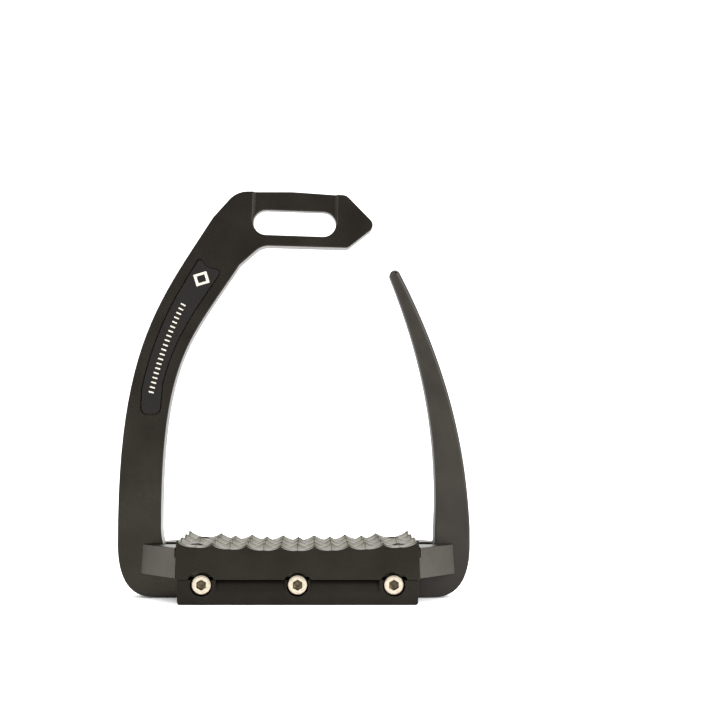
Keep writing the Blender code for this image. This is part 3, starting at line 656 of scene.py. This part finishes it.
threads = int((SHANK_LENGTH - 2.5 * MM) / THREAD_PITCH)
profile = [(0, 0), (HEAD_RADIUS - 1.2 * MM, 0), (HEAD_RADIUS - 0.55 * MM, 0)]
profile += [(HEAD_RADIUS - 0.2 * MM, -0.12 * MM)]
profile += [(HEAD_RADIUS, -0.45 * MM), (HEAD_RADIUS, -0.9 * MM), (HEAD_RADIUS, -HEAD_HIGH + 0.7 * MM)]
profile += [(HEAD_RADIUS, -HEAD_HIGH + 0.2 * MM), (HEAD_RADIUS - 0.2 * MM, -HEAD_HIGH)]
profile += [(SHANK_RADIUS + 0.2 * MM, -HEAD_HIGH), (SHANK_RADIUS, -HEAD_HIGH - 0.2 * MM)]
for turn in range(threads):
    start = -HEAD_HIGH - 1.5 * MM - turn * THREAD_PITCH
    profile += [(SHANK_RADIUS, start), (SHANK_RADIUS - THREAD_DEEP, start - THREAD_PITCH / 2)]
end = -HEAD_HIGH - SHANK_LENGTH
profile += [(SHANK_RADIUS, end + 0.6 * MM), (SHANK_RADIUS - 0.5 * MM, end), (0, end)]

pattern = spun("cap_screw", profile, ROUND)
pick(
    "VERT",
    lambda vert: vert.co.xy.length > HEAD_RADIUS - 0.01 * MM
    and -HEAD_HIGH + 0.5 * MM < vert.co.z < -0.8 * MM
    and round(math.atan2(vert.co.y, vert.co.x) / math.tau * ROUND) % 2,
)
bpy.ops.transform.resize(value=(KNURLED, KNURLED, 1), center_override=(0, 0, -HEAD_HIGH / 2))
socket(pattern, SOCKET_WIDTH, 2.5 * MM, 0)
mark_turning(pattern)
soften(pattern, 30)
# The heads are bright and slightly warm; the sockets are painted dull and dark brown, as painted shade
# inside the recess.
steel = stainless("cold_headed_stainless_steel", "A79C8A", "C2B7A5")
socket_shade = stainless("painted_shade_in_the_sockets", "3E372B", "5F5545")
for side, sign in (("front", -1), ("rear", 1)):
    for number, x in enumerate(screw_xs, 1):
        node = f"cap_screw_{side}_{number}"
        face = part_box(node)[0 if sign < 0 else 1].y
        screw = bpy.data.objects.new(node + "_knurled", pattern.data.copy())
        bpy.context.scene.collection.objects.link(screw)
        screw.data.materials[0] = steel
        screw.data.materials[1] = socket_shade
        screw.location = (x, face, SCREW_Z)
        screw.rotation_euler = (-sign * math.pi / 2, 0, 0)
        screw.select_set(True)
        bpy.context.view_layer.objects.active = screw
        bpy.ops.object.transform_apply()
        bpy.ops.object.select_all(action="DESELECT")
        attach(screw, "iron")
        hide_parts(node)
bpy.data.objects.remove(pattern)


# The grip screws: four M3 countersunk screws in blackened steel that hold the tread to the bridges.

GRIP_HEAD = 3 * MM
GRIP_SHANK = 1.5 * MM
GRIP_PITCH = 0.5 * MM
GRIP_THREADS = 14
profile = [(0, 0), (GRIP_HEAD - 0.15 * MM, 0), (GRIP_HEAD, -0.12 * MM), (GRIP_HEAD, -0.3 * MM)]
profile += [(GRIP_SHANK, -1.8 * MM)]
for turn in range(GRIP_THREADS):
    start = -2.2 * MM - turn * GRIP_PITCH
    profile += [(GRIP_SHANK, start), (GRIP_SHANK - 0.26 * MM, start - 0.25 * MM)]
profile += [(GRIP_SHANK, -9.6 * MM), (GRIP_SHANK - 0.4 * MM, -10 * MM), (0, -10 * MM)]
pattern = spun("grip_screw", profile, 40)
socket(pattern, 2 * MM, 1.2 * MM, 0)
mark_turning(pattern)
soften(pattern, 30)
# Oil blackening leaves the steel nearly black, with a low gloss on its turned faces.
blackened = stainless("oil_blackened_steel", "1E1B18", "2C2824")
for number in (1, 2, 3, 4):
    node = f"grip_screw_{number}"
    corner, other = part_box(node)
    screw = bpy.data.objects.new(node + "_countersunk", pattern.data.copy())
    bpy.context.scene.collection.objects.link(screw)
    screw.data.materials[0] = blackened
    screw.data.materials[1] = blackened
    screw.location = ((corner.x + other.x) / 2, (corner.y + other.y) / 2, other.z)
    screw.select_set(True)
    bpy.context.view_layer.objects.active = screw
    bpy.ops.object.transform_apply()
    bpy.ops.object.select_all(action="DESELECT")
    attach(screw, "iron")
    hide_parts(node)
bpy.data.objects.remove(pattern)


# The thread bushes: plain turned steel sleeves inside the spine, which stay as the CAD has them.

# Turned steel shows fine, even rings round the sleeve.
bush_steel, shader, place = surface("turned_free_cutting_steel", 1.0, 0.35)
rings = add(bush_steel, "TexWave", {"Vector": place, "Scale": 1 / (0.8 * MM)}, bands_direction="Y")
tone = tones(bush_steel, rings.outputs[1], "A39E94", "BDB8AE")
bump = add(bush_steel, "Bump", {"Height": rings.outputs[1], "Distance": 0.01 * MM, "Strength": 0.5})
feed(bush_steel, shader, Base_Color=tone, Normal=bump.outputs[0])
for number in (1, 2, 3):
    bush = frame["nodes"][f"thread_bush_{number}"]
    bush.data.materials.clear()
    bush.data.materials.append(bush_steel)


# The flexible branch: one moulding in matte black elastomer over a spring core, from the tongue that
# the bridges clamp, round the lower corner and up to the rounded free tip. It is cut here at the
# middle of its links, so that each stretch meets the next without a step.

joints = {joint["name"]: Vector(joint["pos_m"]) for joint in frame["joints"]}
hinge = joints["flex_lower"]
root_low, root_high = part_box("outer_branch_root")
tip_low, tip_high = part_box("outer_branch_tip")
FOOT_HALF_WIDTH = root_high.x - hinge.x
TIP_HALF_WIDTH = 2.4 * MM
tip = Vector((tip_low.x + TIP_HALF_WIDTH, 0, tip_high.z - TIP_HALF_WIDTH))
TONGUE_TOP = 14 * MM
CORNER_WIDTH = 15.3 * MM  # the rounded lower corner, across and up, and the hollow inside it
CORNER_HEIGHT = 23.6 * MM
HOLLOW_WIDTH = 10 * MM
HOLLOW_END = 26.3 * MM
FOOT_ROUND = 1.2 * MM  # the moulding's rounded edges, at the foot and at the tip
TIP_ROUND = 2.1 * MM
TONGUE_ROUND = 0.45 * MM
TIP_THINS = 1.7 * MM  # what the tip loses of half of its depth as it rounds over
BUSH_BORE = 4.3 * MM
TIP_HOLE = 0.5 * MM  # a small blind hole in the front of the tip
TIP_HOLE_DEEP = 4 * MM
CUTS = (48.5 * MM, 85.5 * MM)  # heights of the middle of the links


def curve(start, out, back, end, steps):
    """Points of a cubic stretch in the front view."""
    return interpolate_bezier(*[Vector((x, 0, z)) for x, z in (start, out, back, end)], steps)


def half_depth(z):
    """Half of the branch's depth, which thins evenly from the base to the eye."""
    return root_high.y * (1 - (z - root_low.z) / frame_high.z / 3)


def section(half_width, depth, edge, corner_points=6):
    """A rounded rectangle as (across, front to back) pairs, with two more points on each side."""
    points = []
    for i, (right, back) in enumerate(((1, 1), (-1, 1), (-1, -1), (1, -1))):
        middle = (right * (half_width - edge), back * (depth - edge))
        for step in range(corner_points + 1):
            turn = math.radians(90 * (i + step / corner_points))
            points.append((middle[0] + edge * math.cos(turn), middle[1] + edge * math.sin(turn)))
        far = ((-1, 1), (-1, -1), (1, -1), (1, 1))[i]
        after = (far[0] * (half_width - edge * (i % 2 == 0)), far[1] * (depth - edge * (i % 2 == 1)))
        after = (after[0], back * depth) if i % 2 == 0 else (right * half_width, after[1])
        last = points[-1]
        for share in (1 / 3, 2 / 3):
            points.append(tuple(a + (b - a) * share for a, b in zip(last, after)))
    return points


# Where the moulding's outer and inner edges are, from the tongue's end to the first hinge.
inner_start = root_high.x - 2 * FOOT_HALF_WIDTH - HOLLOW_WIDTH
outer_x, inner_x = root_high.x, root_high.x - 2 * FOOT_HALF_WIDTH
corner_start = (outer_x - CORNER_WIDTH, root_low.z)
outer_path = [Vector((inner_start, 0, root_low.z))]
outer_path += curve(
    corner_start,
    (corner_start[0] + 0.65 * CORNER_WIDTH, root_low.z),
    (outer_x, CORNER_HEIGHT - 0.65 * (CORNER_HEIGHT - root_low.z)),
    (outer_x, CORNER_HEIGHT),
    24,
)
outer_path += [Vector((outer_x, 0, hinge.z))]
inner_path = curve(
    (inner_start, TONGUE_TOP),
    (inner_start + 0.55 * HOLLOW_WIDTH, TONGUE_TOP),
    (inner_x, HOLLOW_END - 0.55 * (HOLLOW_END - TONGUE_TOP)),
    (inner_x, HOLLOW_END),
    24,
)
inner_path += [Vector((inner_x, 0, hinge.z))]
stations = []  # (middle, half of the way across, edge rounding, what is taken off half of the depth)
for step in range(9):
    x = root_low.x + (inner_start - root_low.x) * step / 9
    outer, inner = Vector((x, 0, root_low.z)), Vector((x, 0, TONGUE_TOP))
    stations.append(((outer + inner) / 2, (outer - inner) / 2, TONGUE_ROUND, 0))
corner_pairs = list(zip(spread(outer_path, 30), spread(inner_path, 30)))
for i, (outer, inner) in enumerate(corner_pairs):
    edge = TONGUE_ROUND + (FOOT_ROUND - TONGUE_ROUND) * i / len(corner_pairs)
    stations.append(((outer + inner) / 2, (outer - inner) / 2, edge, 0))
rise, run = tip.z - hinge.z, tip.x - hinge.x
centreline = curve(
    (hinge.x, hinge.z),
    (hinge.x, hinge.z + 0.311 * rise),
    (tip.x - 0.757 * run, tip.z - 0.376 * rise),
    (tip.x, tip.z),
    62,
)
for before, here, after in zip(centreline, centreline[1:], [*centreline[2:], None]):
    along = ((after or here) - before).normalized()
    share = (here.z - hinge.z) / rise
    half = FOOT_HALF_WIDTH + (TIP_HALF_WIDTH - FOOT_HALF_WIDTH) * share
    edge = FOOT_ROUND + (TIP_ROUND - FOOT_ROUND) * share
    stations.append((here, Vector((along.z, 0, -along.x)) * half, edge, 0))
for step in range(1, 9):
    turn = math.radians(90 * step / 8)
    side = stations[-step][1].normalized()
    along = Vector((-side.z, 0, side.x))
    here = tip + along * TIP_HALF_WIDTH * math.sin(turn)
    half = max(TIP_HALF_WIDTH * math.cos(turn), 0.02 * MM)
    thinned = TIP_THINS * (1 - math.cos(turn))
    stations.append((here, side * half, min(TIP_ROUND, half * 0.99), thinned))

ring = len(section(1, 1, 0.1))
bpy.ops.mesh.primitive_grid_add(x_subdivisions=len(stations) - 1, y_subdivisions=ring, size=2)
moulding = bpy.context.object
moulding.name = "moulding"
for point in moulding.data.vertices:
    i = round((point.co.x + 1) / 2 * (len(stations) - 1))
    j = round((point.co.y + 1) / 2 * ring)
    middle, across, edge, less = stations[i]
    x, y = section(across.length, half_depth(middle.z) - less, edge)[j % ring]
    point.co = middle + across.normalized() * x + Vector((0, y, 0))
alone(moulding)
bpy.ops.mesh.select_all(action="SELECT")
bpy.ops.mesh.remove_doubles(threshold=0.01 * MM)
bpy.ops.mesh.select_non_manifold()
bpy.ops.mesh.edge_face_add()
bpy.ops.mesh.select_all(action="SELECT")
bpy.ops.mesh.normals_make_consistent(inside=False)
done()
bpy.ops.mesh.primitive_cylinder_add(
    vertices=40,
    radius=BUSH_BORE,
    depth=30 * MM,
    location=(screw_xs[2], 0, SCREW_Z),
    rotation=(math.pi / 2, 0, 0),
)
bpy.ops.object.transform_apply()
cut(moulding, bpy.context.object)
bpy.ops.mesh.primitive_cylinder_add(
    vertices=16,
    radius=TIP_HOLE,
    depth=TIP_HOLE_DEEP,
    location=(tip.x + 0.3 * MM, -TIP_HOLE_DEEP, tip.z + 1.2 * MM),
    rotation=(math.pi / 2, 0, 0),
)
bpy.ops.object.transform_apply()
cut(moulding, bpy.context.object)

# A moulded elastomer: black with a warm cast, a soft broad sheen, and the mould's fine grain.
elastomer, shader, place = surface("matte_moulded_elastomer", 0.0, 0.5, Specular_IOR_Level=0.25)
grain = add(elastomer, "TexNoise", {"Vector": place, "Scale": 1 / (0.45 * MM), "Detail": 3.0})
cloud = add(elastomer, "TexNoise", {"Vector": place, "Scale": 1 / (14 * MM), "Detail": 2.0})
tone = tones(elastomer, cloud.outputs[0], "17130D", "211C14")
gloss = add(elastomer, "MapRange", {"Value": cloud.outputs[0], "To Min": 0.42, "To Max": 0.54})
bump = add(elastomer, "Bump", {"Height": grain.outputs[0], "Distance": 0.012 * MM, "Strength": 0.6})
feed(elastomer, shader, Base_Color=tone, Roughness=gloss.outputs[0], Normal=bump.outputs[0])
moulding.data.materials.append(elastomer)


def at_height(z):
    """The centreline's point and direction at a height."""
    i = next(n for n in range(len(centreline) - 1) if centreline[n + 1].z > z)
    step = centreline[i + 1] - centreline[i]
    return centreline[i] + step * ((z - centreline[i].z) / step.z), step.normalized()


# Each stretch's name, its two cut ends, the bodies that it joins, the heights between which it turns
# from one to the other, and the CAD nodes that it stands for.
foot_nodes = ("outer_branch_root", "outer_branch_lower")
stretches = (
    ("branch_foot", None, CUTS[0], "iron", "branch_lower", 21 * MM, 41 * MM, foot_nodes),
    ("branch_shaft", *CUTS, "branch_lower", "branch_middle", 56 * MM, 76 * MM, ("outer_branch_middle",)),
    ("branch_end", CUTS[1], None, "branch_middle", "branch_tip", 95 * MM, 115 * MM, ("outer_branch_tip",)),
)
for name, bottom, top, below, above, start, end, nodes in stretches:
    stretch = bpy.data.objects.new(name, moulding.data.copy())
    bpy.context.scene.collection.objects.link(stretch)
    alone(stretch)
    for height, keep_above in ((bottom, True), (top, False)):
        if height:
            spot, along = at_height(height)
            bpy.ops.mesh.select_all(action="SELECT")
            bpy.ops.mesh.bisect(
                plane_co=spot,
                plane_no=along,
                use_fill=True,
                clear_inner=keep_above,
                clear_outer=not keep_above,
            )
    soften(stretch, 35)
    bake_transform(stretch)
    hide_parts(*nodes)
bpy.data.objects.remove(moulding)


# The stage: a plain white floor that runs into a white surround, which is dimmer on the camera's side,
# and two soft boxes.

bpy.ops.mesh.primitive_plane_add(size=12)
floor = bpy.context.object
floor.name = "floor"
# White paper: dull and even, so that it shows only the iron's soft shadow.
paper, shader, place = surface("white_paper", 0.0, 0.9)
shader.inputs["Base Color"].default_value = linear("F7F7F7")
floor.data.materials.append(paper)

world = bpy.data.worlds.new("white_surround")
world.use_nodes = True
bpy.context.scene.world = world
direction = add(world, "TexCoord", {}).outputs["Generated"]
facing = add(world, "SeparateXYZ", {"Vector": direction}).outputs["Y"]
level = add(
    world,
    "MapRange",
    {"Value": facing, "From Min": -0.97, "From Max": -0.72, "To Min": 0.7, "To Max": 1.9},
    interpolation_type="SMOOTHSTEP",
)
background = world.node_tree.nodes["Background"]
background.inputs["Color"].default_value = linear("FFFFFF")
world.node_tree.links.new(level.outputs[0], background.inputs["Strength"])

AIM = Vector((0, 0, 80 * MM))
for name, place, size, power in (
    ("softbox_right", (1.1, -0.75, 0.7), 0.9, 22),
    ("softbox_left", (-1.1, -0.75, 0.7), 0.9, 8),
    ("softbox_top", (0, 0.3, 1.5), 1.2, 14),
):
    lamp = bpy.data.lights.new(name, "AREA")
    lamp.shape = "SQUARE"
    lamp.size = size
    lamp.energy = power
    softbox = bpy.data.objects.new(name, lamp)
    bpy.context.scene.collection.objects.link(softbox)
    softbox.location = place
    softbox.rotation_euler = (Vector(place) - AIM).to_track_quat("Z", "Y").to_euler()

camera = bpy.data.cameras.new("camera")
camera.lens = 48
camera.shift_x = 0.0722
camera.shift_y = 0.1124
camera.clip_start = 0.01
viewer = bpy.data.objects.new("camera", camera)
bpy.context.scene.collection.objects.link(viewer)
viewer.location = (6.2 * MM, -425 * MM, 68.8 * MM)
viewer.rotation_euler = (math.pi / 2, 0, 0)
bpy.context.scene.camera = viewer
bpy.context.scene.view_settings.view_transform = "Standard"
